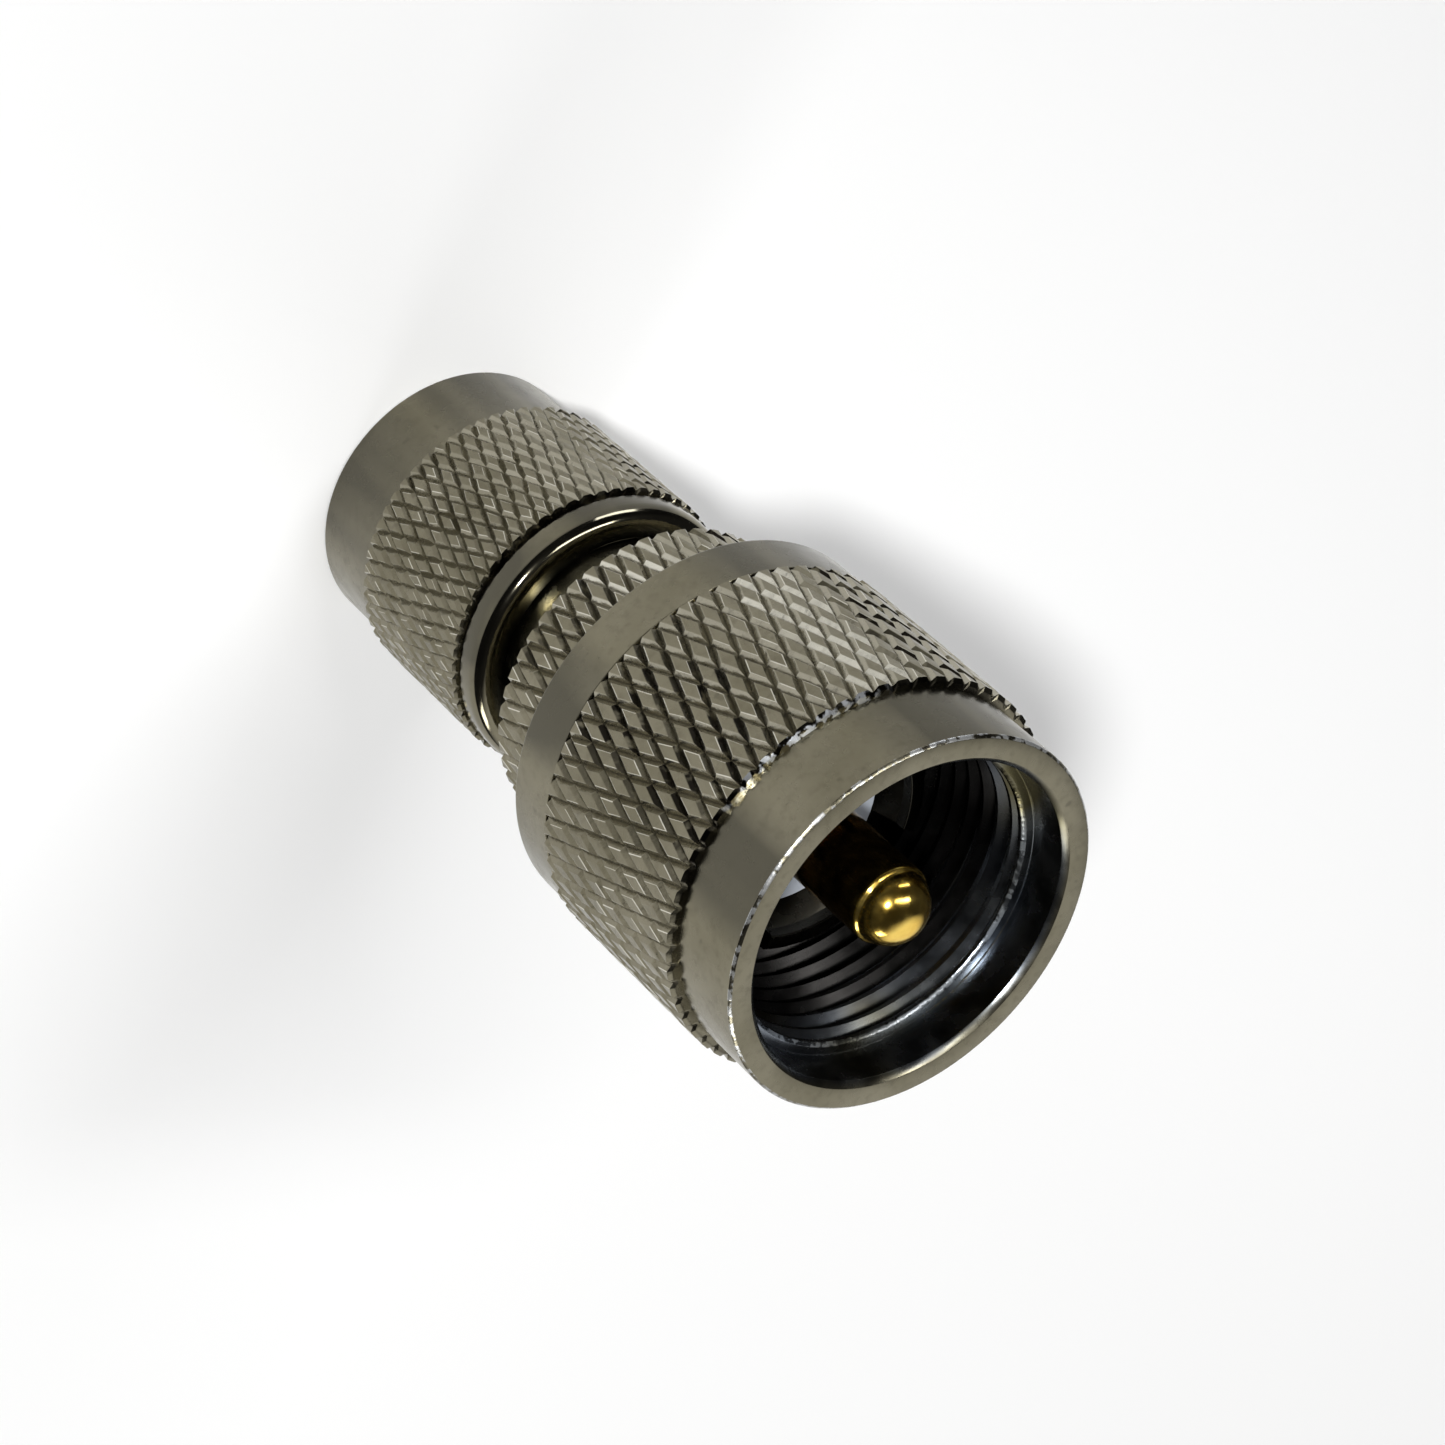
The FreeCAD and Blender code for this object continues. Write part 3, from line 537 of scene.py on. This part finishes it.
def knurlMesh(shape):
    # one flat-topped diamond between crossed grooves, copied round the barrel and up it
    turn = fullTurn / shape["teeth"]
    rise = shape["length"] / shape["rows"]
    floor = shape["crest"] - shape["depth"]
    bm = bmesh.new()
    corners = [(-turn / 2, 0), (0, -rise), (turn / 2, 0), (0, rise)]
    diamond = bm.faces.new([bm.verts.new(onBarrel(floor, a, z)) for a, z in corners])
    bmesh.ops.inset_individual(bm, faces=[diamond], thickness=shape["groove"] / 2 * mm,
                               depth=0, use_even_offset=True)
    bmesh.ops.inset_individual(bm, faces=[diamond], thickness=shape["slope"] * mm,
                               depth=shape["depth"] * mm, use_even_offset=True)
    bmesh.ops.bevel(bm, geom=diamond.edges[:], offset=shape["soften"] * mm, offset_type="OFFSET",
                    segments=2, profile=0.5, affect="EDGES", material=-1, clamp_overlap=True)
    bmesh.ops.rotate(bm, verts=bm.verts, cent=(0, 0, 0), matrix=Matrix.Rotation(turn / 2, 3, "Z"))
    bmesh.ops.spin(bm, geom=bm.verts[:] + bm.edges[:] + bm.faces[:], cent=(0, 0, 0),
                   axis=(0, 0, 1), dvec=(0, 0, 0), angle=turn * (shape["teeth"] - 1),
                   steps=shape["teeth"] - 1, use_duplicate=True)
    ring = bm.verts[:] + bm.edges[:] + bm.faces[:]
    bmesh.ops.translate(bm, verts=bm.verts, vec=(0, 0, shape["bottom"] * mm))
    for row in range(1, shape["rows"] + 1):
        copied = bmesh.ops.duplicate(bm, geom=ring)["geom"]
        verts = [item for item in copied if isinstance(item, bmesh.types.BMVert)]
        bmesh.ops.rotate(bm, verts=verts, cent=(0, 0, 0),
                         matrix=Matrix.Rotation(turn / 2 * (row % 2), 3, "Z"))
        bmesh.ops.translate(bm, verts=verts, vec=(0, 0, row * rise * mm))
    bmesh.ops.remove_doubles(bm, verts=bm.verts, dist=weldBy["knurl"] * mm)
    chamfer = shape["chamfer"]
    low = shape["bottom"] + chamfer
    top = shape["bottom"] + shape["length"] - chamfer
    for height, way in ((low, -1), (top, 1)):
        bmesh.ops.bisect_plane(bm, geom=bm.verts[:] + bm.edges[:] + bm.faces[:],
                               dist=weldBy["cut"] * mm, plane_co=(0, 0, height * mm),
                               plane_no=(0, 0, way), clear_outer=True)
    roughenKnurl(bm, shape, low, top)
    for drop in (shape["fall"], None):
        rims = [edge for edge in bm.edges if edge.is_boundary]
        drawn = bmesh.ops.extrude_edge_only(bm, edges=rims)["geom"]
        for vert in [item for item in drawn if isinstance(item, bmesh.types.BMVert)]:
            if drop is None:
                pushTo(vert, shape["inner"])
            else:
                radius = math.hypot(vert.co.x, vert.co.y) / mm
                pushTo(vert, max(radius - drop, shape["foot"]))
                vert.co.z += math.copysign(chamfer * mm, vert.co.z - (low + top) / 2 * mm)
    loops = [edge for edge in bm.edges if edge.is_boundary]
    bmesh.ops.bridge_loops(bm, edges=loops)
    bmesh.ops.recalc_face_normals(bm, faces=bm.faces)
    return meshFrom(bm, "knurl")


rolledForm = {
    "swayGrain": 1.1,
    "topGrain": 0.9,
    "grooveGrain": 1.3,
    "grooveShare": 0.4,  # share of the unevenness that reaches the grooves
    "liftShare": 1.4,
    "still": 0.01,  # rows of points this close to a cut stay where they are
}


def roughenKnurl(bm, shape, low, top):
    # the rolled pattern is uneven: tops differ in height, grooves waver a little
    middle = shape["crest"] - shape["depth"] * 0.5
    still = rolledForm["still"]
    for vert in bm.verts:
        place = vert.co / mm
        radius = math.hypot(place.x, place.y)
        sway = noise.noise_vector(place * rolledForm["swayGrain"] + Vector((shape["seed"], 0, 0)))
        if radius > middle:
            fall = shape["uneven"] * abs(noise.noise(place * rolledForm["topGrain"]))
            radius = min(radius - fall, shape["crest"])
        else:
            rise = shape["uneven"] * rolledForm["grooveShare"]
            radius += rise * noise.noise(place * rolledForm["grooveGrain"])
        angle = math.atan2(place.y, place.x) + shape["waver"] * sway.x / shape["crest"]
        height = place.z
        if low + still < height < top - still:
            height += shape["waver"] * rolledForm["liftShare"] * sway.y
            height = min(max(height, low + still / 2), top - still / 2)
        vert.co = onBarrel(radius, angle, height)


threadForm = {
    "half": 0.47,  # half the ridge's width at the root and at the crest, in pitches
    "flat": 0.09,
    "sunk": 0.06,  # how far the ridge goes into the wall
}


def threadMesh(shape):
    # a ridge with a narrow crest, wound as a helix on the wall of the bore
    bm = bmesh.new()
    half = shape["pitch"] * threadForm["half"]
    flat = shape["pitch"] * threadForm["flat"]
    root = shape["root"] + threadForm["sunk"]
    section = [(root, -half), (root, half), (shape["crest"], flat), (shape["crest"], -flat)]
    bm.faces.new([bm.verts.new((r * mm, 0, (shape["start"] + z) * mm)) for r, z in section])
    steps = int(shape["turns"] * shape["steps"])
    bmesh.ops.spin(bm, geom=bm.verts[:] + bm.edges[:] + bm.faces[:], cent=(0, 0, 0),
                   axis=(0, 0, 1), dvec=(0, 0, shape["pitch"] * mm / shape["steps"]),
                   angle=fullTurn * shape["turns"], steps=steps)
    bmesh.ops.holes_fill(bm, edges=[edge for edge in bm.edges if edge.is_boundary])
    bmesh.ops.recalc_face_normals(bm, faces=bm.faces)
    return meshFrom(bm, "thread")


def addPiece(name, mesh, material, body, node, sharp=13):
    mesh.name = name
    mesh.materials.clear()
    mesh.materials.append(material)
    mesh.shade_smooth()
    mesh.set_sharp_from_angle(angle=math.radians(sharp))
    piece = bpy.data.objects.new(name, mesh)
    bpy.context.scene.collection.objects.link(piece)
    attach(piece, body)
    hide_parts(node)
    return piece


def paintLayer(mesh, name, domain, values):
    mesh.attributes.new(name, "FLOAT", domain)
    mesh.attributes[name].data.foreach_set("value", values)


knurlReach = {"depths": 1.4, "ends": 0.01}  # what still counts as the rolled pattern


def paintDepth(mesh, knurl, dark=1.0):
    # depth is 0 on the tops of the diamonds, 1 in the grooves, and sets the painted shade there;
    # rolled marks the whole pattern
    depths = []
    rolled = []
    for vert in mesh.vertices:
        height = vert.co.z / mm - knurl["bottom"]
        sunk = (knurl["crest"] - math.hypot(vert.co.x, vert.co.y) / mm) / knurl["depth"]
        between = -knurlReach["ends"] < height < knurl["length"] + knurlReach["ends"]
        inside = between and sunk < knurlReach["depths"]
        depths.append(dark * min(max(sunk, 0), 1) if inside else 0)
        rolled.append(1 if inside else 0)
    paintLayer(mesh, "depth", "POINT", depths)
    paintLayer(mesh, "rolled", "POINT", rolled)


lightPatchShape = {
    "patchCore": 0.6,  # a patch is full out to this share of its half width
    "patchFade": 0.7,
    "patchMean": 0.75,
    "patchSway": 0.5,
    "patchGrain": 0.8,
    "edgeDepth": 0.06,
    "edgeLean": 0.97,
    # spots of painted highlight on the rubbed edges
    "spotGrain": 2.5,
    "spotLeast": 0.12,
    "spotShine": 0.8,
    # how far the painted facet sheen dims in its patches
    "turned": 3,
    "onKnurl": 0.1,  # share of the painted shade bands that the knurl shows
}


def gathered(place, patches, least=0.12):
    # share of a painted patch at a place round the barrel, for highlights and shade alike; patches
    # are (azimuth, half width) in degrees
    azimuth = math.degrees(math.atan2(place.y, place.x))
    share = least
    for middle, width in patches:
        away = abs((azimuth - middle + 180) % 360 - 180) / width
        share = max(share, 1 - max(away - lightPatchShape["patchCore"], 0) / lightPatchShape["patchFade"])
    sway = lightPatchShape["patchSway"] * noise.noise(place / mm * lightPatchShape["patchGrain"])
    return share * (lightPatchShape["patchMean"] + sway)


def paintSides(mesh, knurl, paintedLight):
    # painted sheen on flanks, and rubbed edges with painted highlights, above 0; tops 0; flanks
    # with painted dark reflections down to -1
    leans = []
    bottom = knurl["bottom"] + 0.05
    top = knurl["bottom"] + knurl["length"]
    for face in mesh.polygons:
        height = face.center.z / mm
        if bottom < height < top:
            leans.append(leanOf(face, height > top - knurl["chamfer"], knurl["crest"], paintedLight))
        else:
            leans.append(0)
    paintLayer(mesh, "side", "FACE", leans)


def leanOf(face, atCorner, crest, paintedLight):
    # how far a face of the knurl leans round the barrel, weighed by the patches of painted
    # highlight and painted shade
    outside = Vector((face.center.x, face.center.y, 0))
    radius = outside.length
    lean = face.normal.dot(Vector((-outside.y, outside.x, 0)) / radius)
    spot = noise.noise(face.center / mm * lightPatchShape["spotGrain"])
    slanted = face.normal.dot(outside) < lightPatchShape["edgeLean"] * radius
    edge = slanted and radius / mm > crest - lightPatchShape["edgeDepth"]
    # rubbed edges, with painted highlights on them
    if edge and spot > lightPatchShape["spotLeast"]:
        return lightPatchShape["spotShine"] + spot
    # painted shade on the corner at the knurl's end
    if atCorner:
        return -gathered(face.center, paintedLight["cornerShadeAt"])
    # painted dark reflections on flanks leaning the other way
    if lean < 0:
        takesShade = face.normal.z > 0
        return lean * paintedLight["shadeWeight"] * gathered(face.center, paintedLight["shadedAt"]) if takesShade else 0
    # painted sheen on flanks leaning one way, dimmed in some patches and raised in others
    lean *= paintedLight["shine"]
    if face.normal.z > 0:
        lean *= 1 - lightPatchShape["turned"] * gathered(face.center, paintedLight["dimFacetsAt"], 0)
        lean *= 1 + gathered(face.center, paintedLight["bareAt"], 0)
    return lean


def paintShadeBands(mesh, patches, knurl):
    # painted shade: darker stretches round the outside, hardly any where the knurl is
    shares = []
    for vert in mesh.vertices:
        height = vert.co.z / mm - knurl["bottom"]
        outside = math.hypot(vert.co.x, vert.co.y) / mm > knurl["barrel"]
        share = gathered(vert.co, patches, 0) if outside else 0
        onKnurl = 0.02 < height < knurl["length"] - 0.02
        shares.append(share * (lightPatchShape["onKnurl"] if onKnurl else 1))
    paintLayer(mesh, "shadeBand", "POINT", shares)


def isWithin(zone, radius, height):
    inner, outer, low, high = zone
    return inner < radius < outer and low < height < high


def paintNicksAndGlints(mesh, nickAndGlintZones):
    # chipped plating round the mouth, partly painted highlight there; painted glints on a stretch
    # of the knurl's end and a painted highlight ring where the bore steps
    nickAndGlintShares = []
    for face in mesh.polygons:
        radius = math.hypot(face.center.x, face.center.y) / mm
        height = face.center.z / mm
        found = 0
        if isWithin(nickAndGlintZones["mouth"], radius, height) and face.normal.z < nickAndGlintZones["mouthLean"]:
            found = nickAndGlintZones["mouthShare"]
        elif isWithin(nickAndGlintZones["corner"], radius, height):
            found = gathered(face.center, nickAndGlintZones["glintAt"], 0)
        elif isWithin(nickAndGlintZones["step"], radius, height):
            found = nickAndGlintZones["stepShare"]
        nickAndGlintShares.append(found)
    paintLayer(mesh, "nickAndGlint", "FACE", nickAndGlintShares)


def paintBore(mesh, bore):
    # wall marks the inside of the bore for its painted reflections, deep is a set painted shade at
    # the mouth and then grows inwards
    walls = []
    depths = []
    for vert in mesh.vertices:
        height = vert.co.z / mm
        inside = math.hypot(vert.co.x, vert.co.y) / mm < bore["reach"]
        share = (height - bore["shallow"]) / (bore["black"] - bore["shallow"])
        share = min(max(share, 0), 1) if share > 0 else bore["mouthShade"]
        entered = (height - bore["mouth"]) * (bore["black"] - bore["mouth"]) > 0
        walls.append(1 if inside and entered else 0)
        depths.append(share if inside and entered else 0)
    paintLayer(mesh, "wall", "POINT", walls)
    paintLayer(mesh, "deep", "POINT", depths)


def paintAbove(mesh, name, height, share):
    # one share for all that lies above a height
    paintLayer(mesh, name, "POINT",
               [share if vert.co.z / mm > height else 0 for vert in mesh.vertices])


def openEdges(piece):
    # edges without two faces, 0 on a closed mesh
    bm = bmesh.new()
    bm.from_mesh(piece.data)
    count = sum(1 for edge in bm.edges if not edge.is_manifold)
    bm.free()
    return count


# large coupling nut

largeNut = {
    "knurl": {"teeth": 60, "rows": 7, "bottom": 24.75, "length": 9.95, "crest": 9.9,
              "depth": 0.25, "groove": 0.03, "slope": 0.2, "soften": 0.025, "inner": 9.3,
              "chamfer": 0.1, "fall": 0.22, "foot": 9.4, "uneven": 0.05, "waver": 0.03, "seed": 3,
              "barrel": 9.3},
    "thread": {"root": 7.94, "crest": 7.44, "pitch": 1.058, "start": 28.7, "turns": 6.6,
               "steps": 120},
    "steps": 240,
    # painted light round the barrel: shade bands, facet sheen, dark flank reflections and corner
    # shade
    "paintedLight": {"shine": 0.9, "shadeWeight": 1, "shadeBandsAt": [(-70, 15), (-148, 24), (30, 25), (105, 20)],
             "shadedAt": [(-84, 26), (60, 30), (130, 20)], "dimFacetsAt": [(-157, 13), (20, 14)],
             "bareAt": [(-134, 10), (95, 14)], "cornerShadeAt": [(-108, 52), (70, 50)]},
    # zones are (least radius, greatest radius, low, high)
    # zones of chipped plating, painted glints and the painted highlight ring
    "nickAndGlintZones": {"mouth": (9.1, 9.37, 38.45, 39), "mouthLean": 0.97, "mouthShare": 0.4,
               "corner": (9.36, 10, 34.6, 34.71), "glintAt": [(-107, 22)],
               "step": (7.3, 7.62, 36.15, 36.45), "stepShare": 0.6},
    # where the bore's painted reflections and painted shade go
    "bore": {"reach": 8.15, "mouth": 38.45, "shallow": 36.42, "black": 33.7, "mouthShade": 0.55},
}

largeNutOutline = [
    (7.0, 22.05, 0.15), (9.68, 22.05, 0.12), (9.68, 24.64, 0.04), (9.36, 24.72),
    (9.36, 38.52, 0.03), (9.23, 38.65, 0.03), (8.27, 38.65, 0.03), (8.0, 38.38, 0.03),
    (8.0, 36.4, 0.05), (7.56, 36.4, 0.04), (7.42, 36.26, 0.03), (7.42, 36.02, 0.03),
    (7.94, 35.72), (7.94, 27.95), (8.1, 27.8, 0.1), (8.1, 25.25, 0.2), (7.0, 25.25, 0.15),
    (7.0, 24.4), (7.6, 24.4), (7.6, 23.4), (7.0, 23.4),
]


def makeLargeNut():
    shell = turnedMesh(largeNutOutline, largeNut["steps"])
    knurl = knurlMesh(largeNut["knurl"])
    thread = threadMesh(largeNut["thread"])
    mesh = joinedMesh("uhf_nut_knurled", [shell, knurl, thread])
    paintDepth(mesh, largeNut["knurl"])
    paintSides(mesh, largeNut["knurl"], largeNut["paintedLight"])
    paintShadeBands(mesh, largeNut["paintedLight"]["shadeBandsAt"], largeNut["knurl"])
    paintBore(mesh, largeNut["bore"])
    paintNicksAndGlints(mesh, largeNut["nickAndGlintZones"])
    piece = addPiece("uhf_nut_knurled", mesh, nickelKnurl, "uhf_nut", "uhf_coupling_nut")
    print("large nut made, open edges:", openEdges(piece))


makeLargeNut()


# small coupling nut

smallNut = {
    "knurl": {"teeth": 58, "rows": 8, "bottom": 4.45, "length": 8.2, "crest": 7.3,
              "depth": 0.2, "groove": 0.025, "slope": 0.16, "soften": 0.02, "inner": 6.75,
              "chamfer": 0.07, "fall": 0.16, "foot": 6.86, "uneven": 0.085, "waver": 0.065,
              "seed": 11, "barrel": 6.8},
    "thread": {"root": 5.56, "crest": 5.16, "pitch": 0.907, "start": 1.75, "turns": 6.2,
               "steps": 96},
    "steps": 216,
    "grooveShade": 0.82,
    "polishedFrom": 13.2,
    # where the bore's painted reflections and painted shade go
    "bore": {"reach": 5.8, "mouth": 0.2, "shallow": 1.0, "black": 4.2, "mouthShade": 0.3},
    # painted light round the barrel: shade bands, facet sheen, dark flank reflections and corner
    # shade
    "paintedLight": {"shine": 0.5, "shadeWeight": 0.5, "shadeBandsAt": [(-72, 30), (-138, 26), (30, 25), (105, 20)],
             "shadedAt": [(-88, 18), (-140, 12), (60, 25)], "dimFacetsAt": [(-160, 12), (10, 15)],
             "bareAt": [(-125, 15), (100, 20)], "cornerShadeAt": [(-110, 40), (80, 50)]},
}

smallNutOutline = [
    (6.05, 0, 0.03), (6.84, 0, 0.15), (6.84, 12.65, 0.1), (7.05, 12.95, 0.06), (7.05, 14.45, 0.78),
    (5.6, 14.45, 0.12), (5.6, 13.07), (6.2, 13.07), (6.2, 12.17), (5.6, 12.17),
    (5.6, 10.75, 0.05), (5.75, 10.75), (5.75, 8.15, 0.1), (5.56, 8.0), (5.56, 1.35),
    (5.3, 1.1, 0.03), (5.3, 1.05, 0.02), (5.75, 1.05, 0.03), (5.75, 0.3, 0.03),
]


def makeSmallNut():
    shell = turnedMesh(smallNutOutline, smallNut["steps"])
    knurl = knurlMesh(smallNut["knurl"])
    thread = threadMesh(smallNut["thread"])
    mesh = joinedMesh("tnc_nut_knurled", [shell, knurl, thread])
    paintDepth(mesh, smallNut["knurl"], dark=smallNut["grooveShade"])
    paintSides(mesh, smallNut["knurl"], smallNut["paintedLight"])
    paintShadeBands(mesh, smallNut["paintedLight"]["shadeBandsAt"], smallNut["knurl"])
    paintBore(mesh, smallNut["bore"])
    paintAbove(mesh, "polish", smallNut["polishedFrom"], 1)
    piece = addPiece("tnc_nut_knurled", mesh, nickelKnurl, "tnc_nut", "tnc_coupling_nut")
    print("small nut made, open edges:", openEdges(piece))


makeSmallNut()


# main body: knurled flange, journal, castellated contact ring

mainBody = {
    "knurl": {"teeth": 50, "rows": 3, "bottom": 17.55, "length": 4.45, "crest": 7.85,
              "depth": 0.24, "groove": 0.03, "slope": 0.19, "soften": 0.025, "inner": 7.15,
              "chamfer": 0.05, "fall": 0.12, "foot": 7.4, "uneven": 0.05, "waver": 0.035,
              "seed": 7},
    "steps": 192,
    # painted light round the barrel: facet sheen, dark flank reflections and corner shade
    "paintedLight": {"shine": 0.8, "shadeWeight": 0.8, "shadedAt": [(-85, 26), (50, 40), (140, 20)],
             "dimFacetsAt": [(-155, 12), (15, 14)], "bareAt": [(-115, 18), (95, 16)],
             "cornerShadeAt": [(-160, 10)]},
    # painted shade on the parts that sit inside the large nut
    "darkFrom": 26.0,
    "darkShare": 0.85,
    "notchWidth": 2.2,
    "notchFloor": 29.502,  # a hair above the ring's inner chamfer, for a clean cut
    "notchLength": 16,
    "notchHeight": 3.0,
    "notchAngle": 20,
}

mainBodyOutline = [
    (5.0, 17.6), (7.3, 17.6), (7.3, 21.96), (6.9, 21.96), (6.9, 23.4), (6.15, 23.4), (6.15, 25.2),
    (6.9, 25.2), (6.9, 26.05, 0.15), (6.1, 26.05), (6.1, 30.95, 0.15), (5.35, 30.95, 0.06),
    (5.35, 30.35), (4.5, 29.5, 0.02), (4.5, 21.93), (2.8, 21.93), (2.8, 20.55), (5.0, 20.55),
]


def cutAway(mesh, cutterMesh):
    body = bpy.data.objects.new("carved", mesh)
    cutter = bpy.data.objects.new("cutter", cutterMesh)
    bpy.context.scene.collection.objects.link(body)
    bpy.context.scene.collection.objects.link(cutter)
    cut = body.modifiers.new("cut", "BOOLEAN")
    cut.operation = "DIFFERENCE"
    cut.solver = "EXACT"
    cut.object = cutter
    cut.use_self = True
    bpy.context.view_layer.update()
    carved = bpy.data.meshes.new_from_object(
        body.evaluated_get(bpy.context.evaluated_depsgraph_get()))
    bpy.data.objects.remove(body)
    bpy.data.objects.remove(cutter)
    return carved


def notchBars(shape):
    bm = bmesh.new()
    size = Vector((shape["notchLength"], shape["notchWidth"], shape["notchHeight"])) * mm
    middle = (shape["notchFloor"] + shape["notchHeight"] / 2) * mm
    for turn in (0, 90):
        bar = bmesh.ops.create_cube(bm, size=1.0)["verts"]
        bmesh.ops.scale(bm, verts=bar, vec=size)
        bmesh.ops.rotate(bm, verts=bar, cent=(0, 0, 0),
                         matrix=Matrix.Rotation(math.radians(shape["notchAngle"] + turn), 3, "Z"))
        bmesh.ops.translate(bm, verts=bar, vec=(0, 0, middle))
    return meshFrom(bm, "bars")


def makeMainBody():
    core = turnedMesh(mainBodyOutline, mainBody["steps"])
    core = cutAway(core, notchBars(mainBody))
    knurl = knurlMesh(mainBody["knurl"])
    mesh = joinedMesh("uhf_body_knurled", [core, knurl])
    paintDepth(mesh, mainBody["knurl"])
    paintSides(mesh, mainBody["knurl"], mainBody["paintedLight"])
    paintAbove(mesh, "deep", mainBody["darkFrom"], mainBody["darkShare"])
    piece = addPiece("uhf_body_knurled", mesh, nickelKnurl, "main", "uhf_plug_body")
    print("main body made, open edges:", openEdges(piece))


makeMainBody()


# large centre pin

largePin = {"steps": 144}

largePinOutline = [
    (0.82, 21.97), (1.5, 21.97), (1.5, 29.52), (1.95, 29.52, 0.05), (1.95, 36.98, 0.09),
    (1.8, 37.1, 0.03), (1.76, 37.2),
    (1.74, 37.34), (1.69, 37.5), (1.61, 37.69), (1.49, 37.88), (1.32, 38.08), (1.1, 38.26),
    (0.84, 38.42), (0.56, 38.53), (0.28, 38.58), (0, 38.6), (0, 25.97), (0.82, 24.99),
]


def makeLargePin():
    mesh = turnedMesh(largePinOutline, largePin["steps"])
    piece = addPiece("uhf_pin_domed", mesh, shadedGold, "main", "uhf_centre_pin",
                     sharp=40)
    print("large pin made, open edges:", openEdges(piece))


makeLargePin()


# pieces that keep their solids

carriedOver = {
    "uhf_insulator": shadedInsulator,
    "tnc_insulator": shadedInsulator,
    "tnc_plug_body": neckNickel,
    "tnc_centre_pin": gold,
    "uhf_retaining_ring": springBronze,
    "tnc_retaining_ring": springBronze,
    "tnc_gasket": darkGasket,
}

for nodeName, finish in carriedOver.items():
    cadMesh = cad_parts[nodeName].data
    cadMesh.materials.clear()
    cadMesh.materials.append(finish)
print("carried-over solids are finished")
